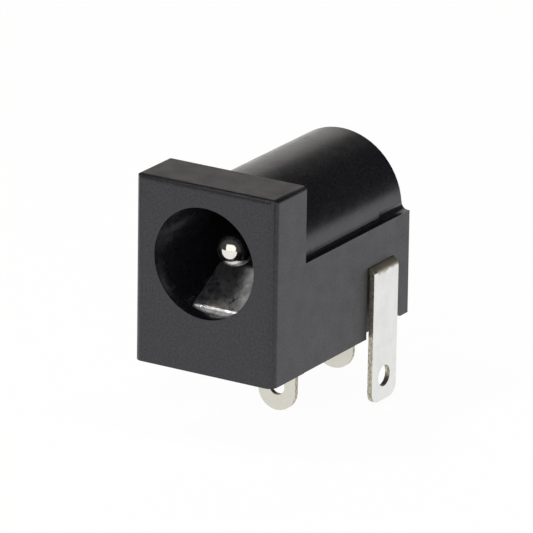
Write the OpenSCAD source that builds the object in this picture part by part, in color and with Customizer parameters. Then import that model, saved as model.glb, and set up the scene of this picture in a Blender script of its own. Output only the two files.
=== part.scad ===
// DC barrel jack for a 5.5 mm plug with a 2.1 mm hole, for soldering into a board.
// The origin is the middle of the socket's mouth on the front face.
// X runs to the right seen from the front, Y runs from the front face to the rear, Z runs up.

/* [Housing] */
// Width of the front flange
flange_w = 9; // [8.6:0.1:11]
// Height of the front flange
flange_h = 10.8; // [10.6:0.1:12]
// Thickness of the flange, front to back
flange_t = 3.3; // [2.5:0.1:5]
// Height of the socket's axis above the board
axis_h = 6.4; // [6:0.1:7]
// Length of the housing, front to back
body_len = 14.4; // [14.2:0.05:18]
// Radius of the round barrel behind the flange
barrel_r = 3.95; // [3.8:0.05:4.2]
// Height of the box's shoulders above the board
shoulder_h = 6.34; // [5.5:0.02:6.4]
// How far each box side stands in from the flange side
side_step = 0.03; // [0:0.01:0.2]
// Radius on the upright front edges of the flange
front_edge_r = 0.5; // [0.2:0.05:0.8]
// Radius on the top front edge of the flange
top_edge_r = 0.35; // [0.1:0.05:0.6]
// Radius on the top side edges of the flange
side_edge_r = 0.28; // [0.1:0.02:0.6]
// Radius in the corner between the barrel and a shoulder
root_r = 0.2; // [0.1:0.05:0.4]
// Radius of the thicker web in that corner at the rear
heel_r = 0.4; // [0.3:0.05:0.5]
// Length of the thicker web
heel_len = 2.4; // [1:0.1:4]
// Height of the rear edge's underside above the board
heel_rise = 0.33; // [0.1:0.01:0.8]

/* [Socket] */
// Radius of the socket's mouth
mouth_r = 3.2; // [3.1:0.05:3.4]
// Depth of the straight mouth, ahead of the draft and the contact trough
mouth_land = 0.9; // [0.8:0.1:2]
// Radius of the socket at its floor
floor_r = 3.05; // [2.9:0.05:3.05]
// Depth of the socket
bore_depth = 10; // [9.6:0.1:10]

/* [Centre pin] */
// Radius of the centre pin
pin_r = 1; // [0.8:0.05:1.25]
// Distance of the pin's tip behind the front face
pin_setback = 2.15; // [1:0.05:3]
// Radius of the collar that seats the pin in the rear wall
collar_r = 1.4; // [1.3:0.05:1.6]
// Length of the collar
collar_len = 0.6; // [0.3:0.05:0.8]
// Radius of the riveted tail
rivet_r = 0.6; // [0.4:0.05:0.7]
// Radius of the peened head
rivet_head_r = 1; // [0.8:0.05:1.2]

/* [Sheet metal] */
// Thickness of the contacts' sheet
sheet_t = 0.3; // [0.2:0.05:0.4]
// Middle radius of the square bends
bend_r = 0.35; // [0.3:0.05:0.5]
// Clearance between a contact and its slot
fit_gap = 0.02; // [0.01:0.01:0.05]

/* [Sleeve spring] */
// Width of the spring strip
spring_w = 3.3; // [2.8:0.1:3.4]
// Clearance at each side of the strip in its trough
trough_gap = 0.1; // [0.05:0.05:0.3]
// Middle radius of the fold at the front
nose_r = 0.45; // [0.35:0.05:0.6]
// Clearance between the fold and the front of the trough
nose_gap = 0.49; // [0.05:0.01:0.6]
// Depth of the fold's middle below the socket wall
nose_sink = 0.3; // [0.2:0.05:0.6]
// Slope of the spring behind its fold
ramp_angle = 30.5; // [25:0.5:40]
// Middle radius of the spring's crest
crest_r = 0.85; // [0.6:0.05:1.2]
// Gap between the crest and the centre pin
crest_gap = 0.3; // [0.2:0.05:0.6]
// Length of the level tip under the switch contact
tip_len = 1.4; // [0.8:0.1:1.8]
// Distance behind the fold of the wider stretch that grips the trough
barb_setback = 1.6; // [0.8:0.1:2]
// Length of that wider stretch
barb_len = 1.6; // [0.8:0.1:2]
// Distance of the leg's front face behind the front face of the jack
sleeve_leg_y = 7.8; // [7:0.1:8.4]
// Width of the sleeve leg
sleeve_leg_w = 2.4; // [2:0.1:2.8]
// Length of full strip width that is left below the leg's bend
leg_shoulder = 0.2; // [0.1:0.05:0.5]
// Reach of the sleeve leg below the board plane
sleeve_leg_reach = 4.4; // [3:0.1:5]

/* [Switch contact] */
// Distance of the leg's middle ahead of the rear face
switch_leg_setback = 2.95; // [2.75:0.05:3.05]
// Width of the switch leg
switch_leg_w = 2.6; // [2:0.1:2.7]
// Reach of the switch leg below the board plane
switch_leg_reach = 3.9; // [3:0.1:5]
// Corner radius of the switch leg's end
switch_leg_corner_r = 0.7; // [0.4:0.05:1]
// Distance of the tab's upper face below the socket's axis
tab_drop = 2.25; // [1.9:0.05:2.4]
// Reach of the tab past the middle of the jack
tab_reach = 1.2; // [0.8:0.1:1.4]
// Lean of the leg under the housing, in degrees
leg_lean = 0.3; // [0:0.1:3]
// Room ahead of the leg in its recess
recess_front_gap = 0.2; // [0.05:0.05:0.3]
// Room behind the leg in its recess
recess_rear_gap = 0.5; // [0.2:0.05:0.6]
// How much lower the recess is behind the leg than at the leg
recess_rear_drop = 0.5; // [0.1:0.05:1]
// Depth of the recess in the housing's side
recess_depth = 0.6; // [0.5:0.05:1]
// Size of the lead-in at the recess's lower rear corner
recess_lead = 0.32; // [0.1:0.02:0.5]

/* [Pin terminal] */
// Width of the pin terminal
pin_leg_w = 2.5; // [2.4:0.1:3.2]
// Reach of the pin terminal below the board plane
pin_leg_reach = 3.7; // [3:0.1:5]
// Corner radius of the pin terminal's end
pin_leg_corner_r = 1.2; // [0.4:0.05:1.2]
// Depth of the pocket in the rear face
pocket_depth = 0.55; // [0.5:0.05:0.7]
// Clearance at each side of the terminal in its pocket
pocket_gap = 0.1; // [0.05:0.05:0.3]

/* [Terminal eyes] */
// Radius of the eye in the sleeve and pin legs
eye_r = 0.5; // [0.3:0.05:0.7]
// Radius of the eye in the switch leg
switch_eye_r = 0.62; // [0.3:0.02:0.7]
// Height of each eye's middle above the end of its leg
eye_rise = 1.4; // [1.1:0.05:1.8]

/* [Hidden] */
$fn = 64;
over = 0.05;
bend_step = 9;
board_z = -axis_h;
top_z = flange_h - axis_h;
box_w = flange_w - 2 * side_step;
shoulder_z = shoulder_h - axis_h;
seat_y = body_len - pocket_depth;
switch_leg_y = body_len - switch_leg_setback;
trough_w = spring_w + 2 * trough_gap;
trough_top_z = -mouth_r / 2;
pocket_w = pin_leg_w + 2 * pocket_gap;
head_len = pocket_depth - sheet_t - 2 * fit_gap;
tab_top_z = -tab_drop;
tab_mid_z = tab_top_z - sheet_t / 2;
tab_under_z = tab_top_z - sheet_t;
recess_y0 = switch_leg_y - switch_leg_w / 2 - recess_front_gap;
recess_y1 = switch_leg_y + switch_leg_w / 2 + recess_rear_gap;
passage_y1 = switch_leg_y + switch_leg_w / 2 + fit_gap;
recess_floor_x = box_w / 2 - recess_depth;
leg_out_x = box_w / 2 + side_step + sheet_t;
trough_end_y = recess_y1 - recess_front_gap;
nose_y = mouth_land + nose_gap + nose_r + sheet_t / 2;
nose_z = -mouth_r - nose_sink;
base_z = nose_z - nose_r;
crest_z = -pin_r - crest_gap - sheet_t / 2 - crest_r;
ramp_run = (crest_z - nose_z - (nose_r - crest_r) * cos(ramp_angle)) / sin(ramp_angle);
crest_y = nose_y - (nose_r - crest_r) * sin(ramp_angle) + ramp_run * cos(ramp_angle);
tip_y = switch_leg_y - switch_leg_w / 2 - sheet_t;
tip_z = tab_under_z - fit_gap - sheet_t / 2;
tip_far = norm([tip_y - crest_y, tip_z - crest_z]);
tail_run = sqrt(tip_far * tip_far - crest_r * crest_r);
tail_angle = atan2(tip_z - crest_z, tip_y - crest_y) - atan2(crest_r, tail_run);
leg_mid_y = sleeve_leg_y + sheet_t / 2;
leg_top_z = base_z - bend_r;
sleeve_leg_end_z = board_z - sleeve_leg_reach;
// Each bend of a strip is the straight run ahead of it, its turn and its middle radius
spring_bends = [
    [leg_top_z - sleeve_leg_end_z, 90, bend_r],
    [leg_mid_y - bend_r - nose_y, ramp_angle - 180, nose_r],
    [ramp_run, tail_angle - ramp_angle, crest_r],
    [tail_run, -tail_angle, crest_r]
];
switch_bends = [[tab_reach + leg_out_x - sheet_t / 2 - bend_r, -90 - leg_lean, bend_r]];

// Stands a profile drawn in Y and Z across the jack, centred on X
module across(width) {
    rotate([90, 0, 90])
        linear_extrude(height = width, center = true) children();
}

// Runs a profile drawn in X and Z rearwards from y0
module rearwards(y0, length) {
    translate([0, y0 + length, 0])
        rotate([90, 0, 0])
            linear_extrude(height = length) children();
}

// The waste outside a round corner of radius r, whose corner point is the origin
module corner_waste(r) {
    translate([-over, -over])
        difference() {
            square(r + over);
            translate([r + over, r + over]) circle(r);
        }
}

// A concave fillet that fills the corner between the X and Y axes
module corner_fill(r) {
    difference() {
        translate([-over, -over]) square(r + over);
        translate([r, r]) circle(r);
    }
}

// Front flange with rounded front and top edges
module flange() {
    difference() {
        translate([-flange_w / 2, 0, board_z]) cube([flange_w, flange_t, flange_h]);
        for (side = [-1, 1]) {
            translate([side * flange_w / 2, 0, board_z - over])
                linear_extrude(height = flange_h + 2 * over)
                    scale([-side, 1]) corner_waste(front_edge_r);
            rearwards(-over, flange_t + 2 * over)
                translate([side * flange_w / 2, top_z])
                    scale([-side, -1]) corner_waste(side_edge_r);
        }
        across(flange_w + 2 * over)
            translate([0, top_z]) scale([1, -1]) corner_waste(top_edge_r);
    }
}

// Barrel, and the box that carries it above the board
module barrel_and_box() {
    rearwards(flange_t - over, body_len - flange_t + over) circle(barrel_r);
    translate([-box_w / 2, flange_t - over, board_z])
        cube([box_w, body_len - flange_t + over, shoulder_h]);
    for (side = [-1, 1]) {
        shoulder_fillet(side, root_r, flange_t - over, body_len);
        shoulder_fillet(side, heel_r, body_len - heel_len, body_len);
    }
}

// Fillet between the barrel and the shoulder on one side
module shoulder_fillet(side, r, y0, y1) {
    rearwards(y0, y1 - y0)
        translate([side * barrel_r, shoulder_z])
            scale([side, 1]) corner_fill(r);
}

// Socket for the plug: a straight round mouth, then a bore with moulding draft
module socket() {
    rotate([-90, 0, 0])
        rotate_extrude()
            polygon([
                [0, -over],
                [mouth_r, -over],
                [mouth_r, mouth_land],
                [floor_r, bore_depth],
                [0, bore_depth]
            ]);
}

// Trough that lets the sleeve spring in from below
module trough() {
    translate([-trough_w / 2, mouth_land, board_z - over])
        cube([trough_w, bore_depth - mouth_land, axis_h + trough_top_z]);
    translate([-trough_w / 2, bore_depth - over, board_z - over])
        cube([trough_w, trough_end_y - bore_depth + over, axis_h + tab_top_z + fit_gap + over]);
}

// Recess for the switch leg in the right side, lower behind the leg, and the tab's slit
module switch_seat() {
    passage_h = axis_h + tab_top_z + fit_gap + over;
    translate([recess_floor_x, recess_y0, board_z - over]) {
        cube([recess_depth + over, passage_y1 - recess_y0, passage_h]);
        cube([recess_depth + over, recess_y1 - recess_y0, passage_h - recess_rear_drop]);
    }
    translate([0, switch_leg_y - switch_leg_w / 2 - fit_gap, tab_under_z - fit_gap])
        cube([recess_floor_x + over, switch_leg_w + 2 * fit_gap, sheet_t + 2 * fit_gap]);
    translate([recess_floor_x + recess_depth, 0, 0])
        across(2 * recess_depth)
            translate([recess_y1 - over, board_z + heel_rise - over])
                polygon([[0, 0], [recess_lead + 2 * over, 0], [0, recess_lead + 2 * over]]);
}

// Pocket in the rear face for the pin terminal, and the stepped hole for the pin
module pin_seat() {
    rearwards(seat_y, pocket_depth + over) {
        circle(pocket_w / 2);
        translate([-pocket_w / 2, board_z - over]) square([pocket_w, axis_h + over]);
    }
    rearwards(bore_depth - over, seat_y - bore_depth + 2 * over) circle(pin_r + fit_gap);
    rearwards(seat_y - collar_len, collar_len + over) circle(collar_r + fit_gap);
}

// Raised underside behind the switch leg's recess
module heel_relief() {
    translate([-flange_w / 2, recess_y1, board_z - over])
        cube([flange_w, body_len - recess_y1 + over, heel_rise + over]);
}

module housing() {
    color([0.13, 0.13, 0.14])
        difference() {
            union() {
                flange();
                barrel_and_box();
            }
            socket();
            trough();
            switch_seat();
            pin_seat();
            heel_relief();
        }
}

// Turned pin with a domed tip, riveted through its terminal
module centre_pin() {
    dome_y = pin_setback + pin_r;
    color([0.8, 0.79, 0.76]) {
        translate([0, dome_y, 0]) sphere(pin_r);
        rearwards(dome_y, seat_y - dome_y) circle(pin_r);
        rearwards(seat_y - collar_len + fit_gap, collar_len - fit_gap) circle(collar_r);
        rearwards(seat_y - over, sheet_t + over + head_len / 2) circle(rivet_r);
        rivet_head();
    }
}

// Low dome peened over the terminal
module rivet_head() {
    y0 = seat_y + sheet_t + fit_gap;
    dome_r = (rivet_head_r * rivet_head_r + head_len * head_len) / (2 * head_len);
    intersection() {
        translate([0, y0 + head_len - dome_r, 0]) sphere(dome_r);
        rearwards(y0, head_len) circle(rivet_head_r);
    }
}

// Flat leg in X and Z that hangs down to end_z, with rounded lower corners and an eye
module leg_plate(w, top, end_z, corner_r, hole_r) {
    difference() {
        translate([-w / 2, end_z]) square([w, top - end_z]);
        for (side = [-1, 1])
            translate([side * w / 2, end_z]) scale([-side, 1]) corner_waste(corner_r);
        translate([0, end_z + eye_rise]) circle(hole_r);
    }
}

// Plate in the rear pocket, riveted to the pin, whose lower end is the leg
module pin_terminal() {
    color([0.79, 0.78, 0.73])
        rearwards(seat_y, sheet_t)
            difference() {
                union() {
                    circle(pin_leg_w / 2);
                    leg_plate(pin_leg_w, 0, board_z - pin_leg_reach, pin_leg_corner_r, eye_r);
                }
                circle(rivet_r + fit_gap);
            }
}

function unit(angle) = [cos(angle), sin(angle)];

// Points along the middle of a bent strip, each with the strip's heading there
function stations(p, angle, bends, i = 0) =
    let (
        turn = bends[i][1],
        cuts = ceil(abs(turn) / bend_step),
        spoke = sign(turn) * bends[i][2],
        hub = p + bends[i][0] * unit(angle) + spoke * unit(angle + 90),
        arc = [
            for (k = [0 : cuts])
                let (a = angle + turn * k / cuts) [hub - spoke * unit(a + 90), a]
        ]
    )
    i == len(bends) - 1
        ? arc
        : concat(arc, stations(arc[cuts][0], angle + turn, bends, i + 1));

// Edge view of a sheet strip that starts at p, takes its bends in turn and ends in a straight tail
module strip_edge(p, angle, bends, tail) {
    way = stations(p, angle, bends);
    last = way[len(way) - 1];
    line = concat([[p, angle]], way, [[last[0] + tail * unit(last[1]), last[1]]]);
    left = [for (s = line) s[0] + sheet_t / 2 * unit(s[1] + 90)];
    right = [for (s = line) s[0] - sheet_t / 2 * unit(s[1] + 90)];
    polygon(concat(left, [for (i = [len(right) - 1 : -1 : 0]) right[i]]));
}

// Spring that presses on the plug's sleeve, folded from one strip with its leg.
// Its edge view is trimmed to the blank's width: the leg, the strip, and the wider grip.
module sleeve_spring() {
    color([0.82, 0.81, 0.77])
        intersection() {
            across(trough_w)
                strip_edge([leg_mid_y, sleeve_leg_end_z], 90, spring_bends, tip_len);
            union() {
                rearwards(0, body_len) {
                    translate([-spring_w / 2, leg_top_z - leg_shoulder])
                        square([spring_w, leg_shoulder - leg_top_z]);
                    leg_plate(
                        sleeve_leg_w, leg_top_z, sleeve_leg_end_z, sleeve_leg_w / 2, eye_r
                    );
                }
                translate([-trough_w / 2 - over, nose_y + barb_setback, base_z - sheet_t])
                    cube([trough_w + 2 * over, barb_len, 2 * sheet_t]);
            }
        }
}

// Contact that the spring rests against while no plug is in, bent down to its leg
module switch_contact() {
    color([0.84, 0.84, 0.82])
        intersection() {
            rearwards(switch_leg_y - switch_leg_w / 2 - over, switch_leg_w + 2 * over)
                strip_edge([-tab_reach, tab_mid_z], 0, switch_bends, axis_h + switch_leg_reach);
            across(2 * flange_w)
                translate([switch_leg_y, 0])
                    leg_plate(
                        switch_leg_w, 0, board_z - switch_leg_reach, switch_leg_corner_r, switch_eye_r
                    );
        }
}

housing();
centre_pin();
pin_terminal();
sleeve_spring();
switch_contact();
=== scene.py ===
import math

import bmesh
import bpy
from mathutils import Matrix, Vector


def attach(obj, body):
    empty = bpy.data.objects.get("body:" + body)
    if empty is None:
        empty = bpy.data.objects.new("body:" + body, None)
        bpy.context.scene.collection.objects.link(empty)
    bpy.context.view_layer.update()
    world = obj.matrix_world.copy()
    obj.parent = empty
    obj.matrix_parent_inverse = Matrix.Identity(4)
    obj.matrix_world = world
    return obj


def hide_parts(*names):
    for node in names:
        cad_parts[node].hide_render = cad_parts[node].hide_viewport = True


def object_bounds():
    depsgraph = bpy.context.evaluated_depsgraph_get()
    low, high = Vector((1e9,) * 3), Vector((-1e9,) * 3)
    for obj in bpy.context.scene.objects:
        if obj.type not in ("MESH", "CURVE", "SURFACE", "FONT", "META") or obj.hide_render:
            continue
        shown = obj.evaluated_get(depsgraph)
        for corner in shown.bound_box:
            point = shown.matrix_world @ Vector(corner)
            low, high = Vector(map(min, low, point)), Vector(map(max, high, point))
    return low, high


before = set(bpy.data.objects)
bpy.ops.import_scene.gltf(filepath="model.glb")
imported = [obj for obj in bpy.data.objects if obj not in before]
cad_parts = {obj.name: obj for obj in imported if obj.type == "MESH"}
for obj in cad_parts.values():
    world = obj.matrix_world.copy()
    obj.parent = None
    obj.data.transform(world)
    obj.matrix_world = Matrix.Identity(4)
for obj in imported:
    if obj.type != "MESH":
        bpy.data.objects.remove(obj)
cadLow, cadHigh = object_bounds()
mm = 0.001
scene = bpy.context.scene
scene.view_settings.view_transform = "Standard"


def addObject(name, data):
    made = bpy.data.objects.new(name, data)
    scene.collection.objects.link(made)
    return made


# Camera at the viewing angle

viewpoint = {
    "azimuth": 31.53,     # degrees round the jack, from straight ahead towards the switch leg
    "elevation": 18.97,
    "roll": 0.81,
    "distance": 430.9,
    "pivot": (0, 7, -0.4),
    "rightwards": 0.267,   # the pivot's place beside the picture's middle
    "upwards": 1.636,
    "lens": 527.2,
    "clip": (0.01, 20),    # metres
}


def outwards(azimuth, elevation):
    a, e = math.radians(azimuth), math.radians(elevation)
    return Vector((math.sin(a) * math.cos(e), -math.cos(a) * math.cos(e), math.sin(e)))


def makeCamera(view):
    back = outwards(view["azimuth"], view["elevation"])
    a, roll = math.radians(view["azimuth"]), math.radians(view["roll"])
    level = Vector((math.cos(a), math.sin(a), 0))
    upright = back.cross(level)
    right = math.cos(roll) * level + math.sin(roll) * upright
    up = math.cos(roll) * upright - math.sin(roll) * level
    data = bpy.data.cameras.new("camera")
    data.lens = view["lens"]
    data.clip_start, data.clip_end = view["clip"]
    camera = addObject("camera", data)
    place = Vector(view["pivot"]) + view["distance"] * back
    place -= view["rightwards"] * right + view["upwards"] * up
    camera.matrix_world = (
        Matrix.Translation(place * mm) @ Matrix((right, up, back)).transposed().to_4x4())
    scene.camera = camera


# Helpers for shader trees

lumps = (0.3, 0.7)   # the range that most of a noise lies in


def newMaterial(name):
    material = bpy.data.materials.new(name)
    material.use_nodes = True
    material.node_tree.nodes.clear()
    return material, material.node_tree


def node(tree, kind, inputs=None, **settings):
    made = tree.nodes.new(kind)
    for key, value in settings.items():
        setattr(made, key, value)
    for key, value in (inputs or {}).items():
        if isinstance(value, bpy.types.NodeSocket):
            tree.links.new(value, made.inputs[key])
        else:
            made.inputs[key].default_value = value
    return made


def objectPlace(tree, stretch=(1, 1, 1)):
    # Object coordinates in millimetres
    place = node(tree, "ShaderNodeTexCoord").outputs["Object"]
    scale = [s / mm for s in stretch]
    return node(tree, "ShaderNodeMapping", {"Vector": place, "Scale": scale}).outputs[0]


def noise(tree, place, size, detail=2.0, rough=0.5):
    # Noise whose lumps are about size millimetres across
    inputs = {"Vector": place, "Scale": 1 / size, "Detail": detail, "Roughness": rough}
    return node(tree, "ShaderNodeTexNoise", inputs).outputs["Fac"]


def spread(tree, value, low, high, toLow, toHigh):
    inputs = {0: value, 1: low, 2: high, 3: toLow, 4: toHigh}
    return node(tree, "ShaderNodeMapRange", inputs).outputs[0]


def maths(tree, operation, a, b=0.0):
    return node(tree, "ShaderNodeMath", {0: a, 1: b}, operation=operation).outputs[0]


def blend(tree, share, first, second):
    mixed = node(tree, "ShaderNodeMix", data_type="RGBA")
    for socket, value in ((mixed.inputs[0], share), (mixed.inputs[6], first), (mixed.inputs[7], second)):
        if isinstance(value, bpy.types.NodeSocket):
            tree.links.new(value, socket)
        else:
            socket.default_value = value
    return mixed.outputs[2]


def bump(tree, height, depth, strength=1.0, normal=None):
    inputs = {"Height": height, "Distance": depth * mm, "Strength": strength}
    if normal is not None:
        inputs["Normal"] = normal
    return node(tree, "ShaderNodeBump", inputs).outputs[0]


def finish(tree, shader):
    node(tree, "ShaderNodeOutputMaterial", {"Surface": shader})


# Floor and light

floorLook = {"size": 1200, "gap": 0.02, "paper": (0.86, 0.86, 0.85, 1), "glow": 1.1, "shadowShare": 0.13}


def floorPaper(look):
    # An overexposed sweep that keeps a faint shadow where it is looked at
    material, tree = newMaterial("paleFloor")
    paper = node(tree, "ShaderNodeBsdfDiffuse", {"Color": look["paper"]}).outputs[0]
    white = node(tree, "ShaderNodeEmission", {"Color": (1, 1, 1, 1), "Strength": look["glow"]}).outputs[0]
    camera = node(tree, "ShaderNodeLightPath").outputs["Is Camera Ray"]
    share = maths(tree, "MULTIPLY", camera, look["shadowShare"])
    finish(tree, node(tree, "ShaderNodeMixShader", {0: share, 1: white, 2: paper}).outputs[0])
    return material


def makeFloor(look):
    half, z = look["size"] * mm / 2, cadLow.z - look["gap"] * mm
    corners = [(-half, -half, z), (half, -half, z), (half, half, z), (-half, half, z)]
    mesh = bpy.data.meshes.new("floor")
    mesh.from_pydata(corners, [], [(0, 1, 2, 3)])
    mesh.materials.append(floorPaper(look))
    addObject("floor", mesh)


lamps = {
    # direction from the jack (azimuth, elevation), distance, width and height in mm, glow, colour
    "frontWindow": (8, 20, 450, 560, 330, 1.3, (1.0, 1.0, 1.0)),
    "rearScreen": (-152, 14, 500, 380, 250, 0.8, (1.0, 0.96, 0.92)),
    "leftSpot": (-47, 59, 450, 70, 70, 16, (1.0, 0.95, 0.86)),
    "rightSpot": (79, 71, 450, 60, 60, 12, (1.0, 0.97, 0.92)),
}


def makeLamps():
    for name, (azimuth, elevation, far, width, height, glow, colour) in lamps.items():
        way = outwards(azimuth, elevation)
        data = bpy.data.lights.new(name, "AREA")
        data.shape = "RECTANGLE"
        data.size, data.size_y = width * mm, height * mm
        data.energy = glow * math.pi * data.size * data.size_y
        data.color = colour
        lamp = addObject(name, data)
        lamp.location = (Vector(viewpoint["pivot"]) + far * way) * mm
        lamp.rotation_mode = "QUATERNION"
        lamp.rotation_quaternion = way.to_track_quat("Z", "Y")
        lamp.visible_camera = False


roomLook = {"colour": (1, 1, 1, 1), "level": 0.06}


def makeRoom(look):
    world = bpy.data.worlds.new("room")
    scene.world = world
    world.use_nodes = True
    tree = world.node_tree
    tree.nodes.clear()
    dim = node(tree, "ShaderNodeBackground", {"Color": look["colour"], "Strength": look["level"]}).outputs[0]
    white = node(tree, "ShaderNodeBackground", {"Color": (1, 1, 1, 1), "Strength": 1.0}).outputs[0]
    camera = node(tree, "ShaderNodeLightPath").outputs["Is Camera Ray"]
    mixed = node(tree, "ShaderNodeMixShader", {0: camera, 1: dim, 2: white}).outputs[0]
    node(tree, "ShaderNodeOutputWorld", {"Surface": mixed})


print("camera, floor and light")
makeCamera(viewpoint)
makeFloor(floorLook)
makeLamps()
makeRoom(roomLook)

# Materials

moulding = {
    "colour": (0.001, 0.001, 0.003, 1), "worn": (0.021, 0.02, 0.025, 1),
    "dust": (0.045, 0.045, 0.05, 1), "tint": (0.97, 0.95, 1.0, 1), "refraction": 1.55,
    # where the surface changes, in mm, and how far past the moulding's own edges
    "flangeEnd": 3.3, "shoulder": -0.06, "bore": 3.25, "boreStart": 0.03, "margin": 0.02,
    "rough": (0.37, 0.45), "smoother": 0.15, "polishedGrain": 0.12,
    # sizes of the lumps in mm, and how deep they are
    "grain": 0.11, "ripple": 1.6, "speck": 0.06, "patch": 1.1, "mottle": 0.14,
    "grainDepth": 0.016, "rippleDepth": 0.004, "rippleStrength": 0.5, "speckRange": (0.66, 0.8),
}


def blackMoulding(look):
    # Eroded texture on the flange and box, polished barrel and shoulders
    material, tree = newMaterial("blackMoulding")
    place = objectPlace(tree)
    axes = node(tree, "ShaderNodeSeparateXYZ", {"Vector": place}).outputs
    behind = maths(tree, "GREATER_THAN", axes["Y"], look["flangeEnd"] + look["margin"])
    above = maths(tree, "GREATER_THAN", axes["Z"], look["shoulder"] - look["margin"])
    barrel = maths(tree, "MULTIPLY", behind, above)
    flat = node(tree, "ShaderNodeCombineXYZ", {0: axes["X"], 1: axes["Z"]}).outputs[0]
    fromAxis = node(tree, "ShaderNodeVectorMath", {0: flat}, operation="LENGTH").outputs["Value"]
    inBore = maths(tree, "LESS_THAN", fromAxis, look["bore"])
    pastMouth = maths(tree, "GREATER_THAN", axes["Y"], look["boreStart"])
    inBore = maths(tree, "MULTIPLY", inBore, pastMouth)
    polished = maths(tree, "MAXIMUM", barrel, inBore)
    grain = noise(tree, place, look["grain"], 3.0, 0.65)
    ripple = noise(tree, place, look["ripple"], 1.0)
    specks = noise(tree, place, look["speck"], 1.0)
    patches = noise(tree, place, look["patch"], 3.0)
    mottle = spread(tree, noise(tree, place, look["mottle"]), *lumps, 0.0, 1.0)
    colour = blend(tree, mottle, look["colour"], look["worn"])
    dusty = spread(tree, specks, *look["speckRange"], 0.0, 1.0)
    colour = blend(tree, dusty, colour, look["dust"])
    rough = spread(tree, patches, *lumps, *look["rough"])
    rough = maths(tree, "SUBTRACT", rough, maths(tree, "MULTIPLY", polished, look["smoother"]))
    strength = spread(tree, polished, 0.0, 1.0, 1.0, look["polishedGrain"])
    normal = bump(tree, ripple, look["rippleDepth"], look["rippleStrength"])
    normal = bump(tree, grain, look["grainDepth"], strength, normal)
    skin = node(tree, "ShaderNodeBsdfPrincipled", {
        "Base Color": colour, "Roughness": rough, "IOR": look["refraction"],
        "Specular Tint": look["tint"], "Normal": normal})
    finish(tree, skin.outputs[0])
    return material


def platedSheet(name, look):
    # Plated sheet with blotches and drawing streaks, and one height band of the strip in another colour and
    # roughness
    material, tree = newMaterial(name)
    place = objectPlace(tree)
    height = node(tree, "ShaderNodeSeparateXYZ", {"Vector": place}).outputs["Z"]
    blotch = noise(tree, place, look["blotch"], 3.0, 0.6)
    streak = noise(tree, objectPlace(tree, look["drawn"]), look["streak"])
    dimple = noise(tree, place, look["dimpleSize"])
    waver = spread(tree, blotch, *lumps, -look["zoneWaver"], look["zoneWaver"])
    wavy = maths(tree, "ADD", height, waver)
    zone = spread(tree, wavy, *look["zone"], 0.0, 1.0)
    tarnished = spread(tree, blotch, *look["tarnishRange"], 0.0, 1.0)
    colour = blend(tree, tarnished, look["colour"], look["tarnish"])
    # the band's colour is painted shade on the legs of the spring and rear plate, and dulled metal at the
    # switch contact's bend
    colour = blend(tree, zone, colour, look["zoneColour"])
    rough = spread(tree, blotch, *lumps, *look["rough"])
    streaked = spread(tree, streak, *lumps, -look["streakRough"], look["streakRough"])
    rough = maths(tree, "ADD", rough, streaked)
    rough = maths(tree, "ADD", rough, maths(tree, "MULTIPLY", zone, look["zoneRougher"]))
    normal = bump(tree, dimple, look["dimple"], look["bumpStrength"])
    normal = bump(tree, streak, look["streakDepth"], look["bumpStrength"], normal)
    skin = node(tree, "ShaderNodeBsdfPrincipled", {
        "Base Color": colour, "Metallic": 1.0, "Roughness": rough, "Normal": normal})
    finish(tree, skin.outputs[0])
    return material


def shearedEdge(name, look):
    # Bare edge where the sheet was punched, torn into light and dark flecks
    material, tree = newMaterial(name)
    torn = noise(tree, objectPlace(tree, look["tear"]), look["tearSize"], 3.0, 0.7)
    dark = spread(tree, torn, *look["tearRange"], 0.0, 1.0)
    colour = blend(tree, dark, look["edge"], look["edgeDark"])
    rough = spread(tree, torn, *lumps, *look["edgeRough"])
    normal = bump(tree, torn, look["tearDepth"], look["tearStrength"])
    skin = node(tree, "ShaderNodeBsdfPrincipled", {
        "Base Color": colour, "Metallic": 1.0, "Roughness": rough, "Normal": normal})
    finish(tree, skin.outputs[0])
    return material


tin = {
    # sizes and depths in mm
    "colour": (0.64, 0.63, 0.59, 1), "tarnish": (0.58, 0.56, 0.5, 1),
    "blotch": 0.9, "tarnishRange": (0.35, 0.7), "rough": (0.2, 0.34),
    "dimple": 0.006, "dimpleSize": 0.16, "bumpStrength": 0.5,
    "streak": 0.05, "streakDepth": 0.0015, "streakRough": 0.03, "drawn": (1, 1, 0.08),
    # heights between which the strip changes to its other colour and roughness; below them the legs get
    # painted shade
    "zone": (-5, -6), "zoneColour": (0.6, 0.58, 0.52, 1), "zoneRougher": 0.04, "zoneWaver": 0.2,
    "edge": (0.62, 0.58, 0.48, 1), "edgeDark": (0.16, 0.14, 0.1, 1), "edgeRough": (0.3, 0.55),
    "tear": (1, 1, 0.35), "tearSize": 0.07, "tearRange": (0.35, 0.65),
    "tearDepth": 0.012, "tearStrength": 0.7,
}
# the bend at the top of the leg is stretched and dulled
brightTin = dict(
    tin, colour=(0.70, 0.70, 0.69, 1), tarnish=(0.66, 0.66, 0.64, 1), rough=(0.16, 0.28),
    zone=(-2.75, -2.6), zoneColour=(0.62, 0.57, 0.48, 1), zoneRougher=0.25)
# bright with fine blotches; smoother at the leg, and darker there with painted shade
springBronze = dict(
    tin, colour=(0.84, 0.86, 0.94, 1), tarnish=(0.66, 0.65, 0.62, 1), blotch=0.3,
    rough=(0.24, 0.46), dimple=0.05, dimpleSize=0.5, drawn=(1, 0.08, 1), zoneRougher=-0.12)
nickel = dict(
    tin, colour=(0.78, 0.76, 0.71, 1), tarnish=(0.66, 0.63, 0.57, 1), rough=(0.04, 0.1), dimple=0.002)

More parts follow.
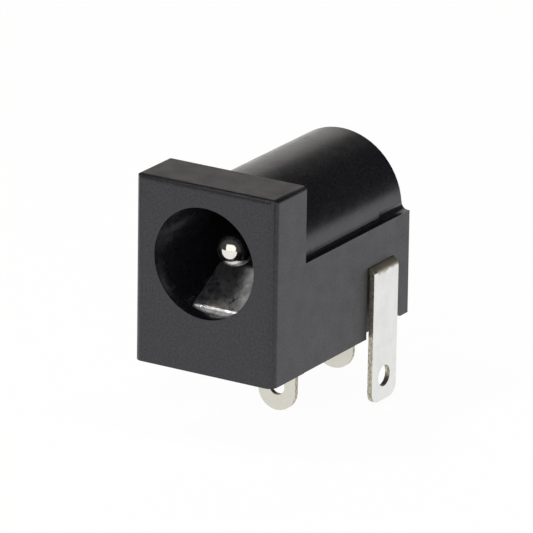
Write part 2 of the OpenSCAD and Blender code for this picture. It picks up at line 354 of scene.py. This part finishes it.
print("materials")
finishes = {
    "housing": [blackMoulding(moulding)],
    "centre_pin": [platedSheet("nickelPin", nickel)],
    "pin_terminal": [platedSheet("tinTerminal", tin), shearedEdge("terminalEdge", tin)],
    "sleeve_spring": [platedSheet("brightSpring", springBronze), shearedEdge("springEdge", springBronze)],
    "switch_contact": [platedSheet("tinContact", brightTin), shearedEdge("contactEdge", brightTin)],
}


def settle(piece, name):
    # The piece stands for the CAD node of that name
    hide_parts(name)
    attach(piece, "root")


# Housing and pin: the CAD shapes with softened edges


def baked(piece, mesh):
    # The evaluated shape as a plain mesh on a piece with no modifiers
    piece.modifiers.clear()
    piece.data = mesh
    return piece


def evaluated(piece):
    bpy.context.view_layer.update()
    graph = bpy.context.evaluated_depsgraph_get()
    return bpy.data.meshes.new_from_object(piece.evaluated_get(graph), depsgraph=graph)


def evenShading(piece, sharpFrom=180):
    # Flat faces keep their own normals, and edges from that many degrees up stay sharp
    for face in piece.data.polygons:
        face.use_smooth = True
    piece.data.set_sharp_from_angle(angle=math.radians(sharpFrom))
    weighted = piece.modifiers.new("shading", "WEIGHTED_NORMAL")
    weighted.keep_sharp = True
    return baked(piece, evaluated(piece))


softEdges = {
    # edge radius in mm, angle in degrees from which an edge is rounded
    "housing": (0.06, 28),
    "centre_pin": (0.03, 28),
}
softening = {
    "merge": 0.0005,    # mm between points that are one
    "flat": 0.5,        # degrees up to which faces are one
    "steps": 2,
}


def softEdged(name, radius, angle):
    shape = bmesh.new()
    shape.from_mesh(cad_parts[name].data)
    bmesh.ops.remove_doubles(shape, verts=shape.verts, dist=softening["merge"] * mm)
    bmesh.ops.dissolve_limit(
        shape, angle_limit=math.radians(softening["flat"]), verts=shape.verts, edges=shape.edges,
        use_dissolve_boundaries=False)
    mesh = bpy.data.meshes.new(name + "Soft")
    shape.to_mesh(mesh)
    shape.free()
    mesh.materials.clear()
    mesh.materials.append(finishes[name][0])
    piece = addObject(name + "Soft", mesh)
    bevel = piece.modifiers.new("edges", "BEVEL")
    bevel.width = radius * mm
    bevel.segments = softening["steps"]
    bevel.limit_method = "ANGLE"
    bevel.angle_limit = math.radians(angle)
    baked(piece, evaluated(piece))
    settle(evenShading(piece), name)


# Contacts: flat blanks, folded along their paths by a node tree

sheet = {
    "thickness": 0.3, "edgeRadius": 0.035, "rimSteps": 2, "merge": 0.001, "cutMerge": 0.0001,
    "cornerSteps": 14, "eyeSteps": 40, "arcStep": 9, "sharpFrom": 20,
}

springStrip = {
    # path in Y and Z from the leg's end; each bend is a straight run, a turn and a radius
    "start": (7.95, -10.8), "heading": 90, "plane": "YZ", "across": (1, 0, 0), "offset": 0,
    "bends": [(6.5, 90, 0.35), (5.61, -149.5, 0.45), (3.0434, -44.954, 0.85), (4.9802, 14.454, 0.85)],
    "tail": 1.4,
    # half widths at distances along the flat blank, after the round end of the leg
    "halfWidths": [(6.3, 1.2), (6.3, 1.65), (9.46, 1.65), (9.46, 1.75), (11.06, 1.75), (11.06, 1.65)],
    "endRadius": 1.2, "tipRadius": 0.25, "eyes": [(1.4, 0.5)],
}
switchStrip = {
    # path in X and Z from the leg's end up to the bend and along the tab
    "start": (4.6104, -10.3), "heading": 89.7, "plane": "XZ", "across": (0, 1, 0), "offset": 11.45,
    "bends": [(7.5483, 90.3, 0.35)],
    "tail": 5.5,
    "halfWidths": [], "halfWidth": 1.3,
    "endRadius": 0.7, "tipRadius": 0.25, "eyes": [(1.4, 0.62)],
}
rearPlate = {
    # straight plate in the rear pocket, with the hole for the pin's riveted tail
    "start": (14.0, -10.1), "heading": 90, "plane": "YZ", "across": (1, 0, 0), "offset": 0,
    "bends": [], "tail": 11.35,
    "halfWidths": [], "halfWidth": 1.25,
    "endRadius": 1.2, "tipRadius": 1.25, "eyes": [(1.4, 0.5), (10.1, 0.62)],
}


def towards(heading):
    return Vector((math.cos(math.radians(heading)), math.sin(math.radians(heading))))


def pathCorners(strip):
    # Corner points of the path, each with its bend radius, and the path's length
    spot, heading = Vector(strip["start"]), strip["heading"]
    corners, length, setback = [(spot.copy(), 0.0)], 0.0, 0.0
    for run, turn, radius in strip["bends"]:
        reach = radius * math.tan(math.radians(abs(turn)) / 2)
        spot = spot + towards(heading) * (setback + run + reach)
        corners.append((spot.copy(), radius))
        length += run + radius * math.radians(abs(turn))
        heading, setback = heading + turn, reach
    corners.append((spot + towards(heading) * (setback + strip["tail"]), 0.0))
    return corners, length + strip["tail"]


def pathCurve(name, strip):
    corners, length = pathCorners(strip)
    data = bpy.data.curves.new(name, "CURVE")
    data.dimensions = "3D"
    line = data.splines.new("POLY")
    line.points.add(len(corners) - 1)
    for point, (spot, radius) in zip(line.points, corners):
        if strip["plane"] == "YZ":
            place = Vector((strip["offset"], spot.x, spot.y))
        else:
            place = Vector((spot.x, strip["offset"], spot.y))
        point.co = (*(place * mm), 1)
        point.radius = radius
    return addObject(name, data), length


def arcPoints(centre, radius, first, last, steps):
    for k in range(steps + 1):
        a = math.radians(first + (last - first) * k / steps)
        yield (centre[0] + radius * math.cos(a), centre[1] + radius * math.sin(a))


def blankOutline(strip, length):
    # Outline of the flat blank: across in x, distance along the path in y
    wide = strip["halfWidths"][-1][1] if strip["halfWidths"] else strip["halfWidth"]
    first = strip["halfWidths"][0][1] if strip["halfWidths"] else strip["halfWidth"]
    end, tip, steps = strip["endRadius"], strip["tipRadius"], sheet["cornerSteps"]
    right = list(arcPoints((first - end, end), end, -90, 0, steps))
    right += [(half, along) for along, half in strip["halfWidths"]]
    right += list(arcPoints((wide - tip, length - tip), tip, 0, 90, steps))
    left = [(-x, y) for x, y in reversed(right)]
    return right + left


def ringOf(shape, points):
    kept = []
    for point in points:
        if not kept or (Vector(point) - Vector(kept[-1])).length > sheet["merge"]:
            kept.append(point)
    if (Vector(kept[0]) - Vector(kept[-1])).length < sheet["merge"]:
        kept.pop()
    verts = [shape.verts.new((x * mm, y * mm, 0)) for x, y in kept]
    return [shape.edges.new((verts[k - 1], verts[k])) for k in range(len(verts))]


def bendCuts(strip):
    # Distances along the blank where it needs an edge to fold at
    along = 0.0
    for run, turn, radius in strip["bends"]:
        along += run
        arc, count = radius * math.radians(abs(turn)), math.ceil(abs(turn) / sheet["arcStep"])
        yield from (along + arc * k / count for k in range(count + 1))
        along += arc


def flatBlank(name, strip, length):
    shape = bmesh.new()
    edges = ringOf(shape, blankOutline(strip, length))
    for along, radius in strip["eyes"]:
        edges += ringOf(shape, arcPoints((0, along), radius, 0, 360, sheet["eyeSteps"]))
    bmesh.ops.triangle_fill(shape, edges=edges, use_beauty=True, normal=(0, 0, 1))
    for along in bendCuts(strip):
        bmesh.ops.bisect_plane(
            shape, geom=shape.verts[:] + shape.edges[:] + shape.faces[:],
            plane_co=(0, along * mm, 0), plane_no=(0, 1, 0), dist=sheet["cutMerge"] * mm)
    bmesh.ops.translate(shape, verts=shape.verts, vec=(0, 0, -sheet["thickness"] / 2 * mm))
    grown = bmesh.ops.extrude_face_region(shape, geom=shape.faces[:])["geom"]
    top = [v for v in grown if isinstance(v, bmesh.types.BMVert)]
    bmesh.ops.translate(shape, verts=top, vec=(0, 0, sheet["thickness"] * mm))
    bmesh.ops.recalc_face_normals(shape, faces=shape.faces)
    # the first material is the sheet's own, the second its cut edges
    for face in shape.faces:
        face.material_index = 0 if abs(face.normal.z) > 0.5 else 1
    rims = [
        e for e in shape.edges if len(e.link_faces) == 2
        and {f.material_index for f in e.link_faces} == {0, 1}]
    bmesh.ops.bevel(
        shape, geom=rims, offset=sheet["edgeRadius"] * mm, segments=sheet["rimSteps"], profile=0.5,
        affect="EDGES", clamp_overlap=True, material=0)
    mesh = bpy.data.meshes.new(name)
    shape.to_mesh(mesh)
    shape.free()
    return addObject(name, mesh)


def foldTree():
    # Lays a flat blank along a path: x goes across, y along the path, z through the sheet
    tree = bpy.data.node_groups.new("foldAlongPath", "GeometryNodeTree")
    wanted = (
        ("Blank", "NodeSocketGeometry"), ("Path", "NodeSocketObject"),
        ("Radius Unit", "NodeSocketFloat"), ("Bend Steps", "NodeSocketInt"),
        ("Across", "NodeSocketVector"), ("Sheet Finish", "NodeSocketMaterial"),
        ("Cut Finish", "NodeSocketMaterial"))
    for name, kind in wanted:
        tree.interface.new_socket(name, in_out="INPUT", socket_type=kind)
    tree.interface.new_socket("Strip", in_out="OUTPUT", socket_type="NodeSocketGeometry")
    given = node(tree, "NodeGroupInput").outputs
    path = node(tree, "GeometryNodeObjectInfo", {"Object": given["Path"]}).outputs["Geometry"]
    bend = node(tree, "ShaderNodeMath", {
        0: node(tree, "GeometryNodeInputRadius").outputs[0], 1: given["Radius Unit"]},
        operation="MULTIPLY").outputs[0]
    fillet = node(tree, "GeometryNodeFilletCurve", {
        "Curve": path, "Radius": bend, "Count": given["Bend Steps"]}, mode="POLY")
    flat = node(tree, "ShaderNodeSeparateXYZ", {
        "Vector": node(tree, "GeometryNodeInputPosition").outputs[0]}).outputs
    sample = node(tree, "GeometryNodeSampleCurve", {
        "Curves": fillet.outputs[0], "Length": flat["Y"]}, mode="LENGTH")
    through = node(tree, "ShaderNodeVectorMath", {
        0: given["Across"], 1: sample.outputs["Tangent"]}, operation="CROSS_PRODUCT").outputs[0]
    side = node(tree, "ShaderNodeVectorMath", {
        0: given["Across"], "Scale": flat["X"]}, operation="SCALE").outputs[0]
    depth = node(tree, "ShaderNodeVectorMath", {0: through, "Scale": flat["Z"]}, operation="SCALE").outputs[0]
    spot = node(tree, "ShaderNodeVectorMath", {
        0: sample.outputs["Position"], 1: side}, operation="ADD").outputs[0]
    spot = node(tree, "ShaderNodeVectorMath", {0: spot, 1: depth}, operation="ADD").outputs[0]
    folded = node(tree, "GeometryNodeSetPosition", {"Geometry": given["Blank"], "Position": spot}).outputs[0]
    cut = node(tree, "FunctionNodeCompare", data_type="INT", operation="EQUAL")
    tree.links.new(node(tree, "GeometryNodeInputMaterialIndex").outputs[0], cut.inputs[2])
    cut.inputs[3].default_value = 1
    real = node(tree, "GeometryNodeRealizeInstances", {"Geometry": folded}).outputs[0]
    kept = node(tree, "GeometryNodeStoreNamedAttribute", {
        "Geometry": real, "Name": "cutEdge", "Value": cut.outputs[0]},
        data_type="BOOLEAN", domain="FACE").outputs[0]
    isCut = node(tree, "GeometryNodeInputNamedAttribute", {
        "Name": "cutEdge"}, data_type="BOOLEAN").outputs[0]
    faced = node(tree, "GeometryNodeSetMaterial", {
        "Geometry": kept, "Material": given["Sheet Finish"]}).outputs[0]
    edged = node(tree, "GeometryNodeSetMaterial", {
        "Geometry": faced, "Selection": isCut, "Material": given["Cut Finish"]}).outputs[0]
    node(tree, "NodeGroupOutput", {0: edged})
    return tree


def foldedStrip(tree, name, strip):
    path, length = pathCurve(name + "Path", strip)
    blank = flatBlank(name + "Strip", strip, length)
    fold = blank.modifiers.new("fold", "NODES")
    fold.node_group = tree
    values = {
        "Path": path, "Radius Unit": mm, "Bend Steps": sheet["cornerSteps"], "Across": strip["across"],
        "Sheet Finish": finishes[name][0], "Cut Finish": finishes[name][1]}
    for item in tree.interface.items_tree:
        if item.name in values:
            fold[item.identifier] = values[item.name]
    baked(blank, evaluated(blank))
    bpy.data.objects.remove(path)
    settle(evenShading(blank, sheet["sharpFrom"]), name)


print("housing and pin")
for name, (radius, angle) in softEdges.items():
    softEdged(name, radius, angle)

print("contacts")
fold = foldTree()
for name, strip in (
        ("sleeve_spring", springStrip), ("switch_contact", switchStrip), ("pin_terminal", rearPlate)):
    foldedStrip(fold, name, strip)
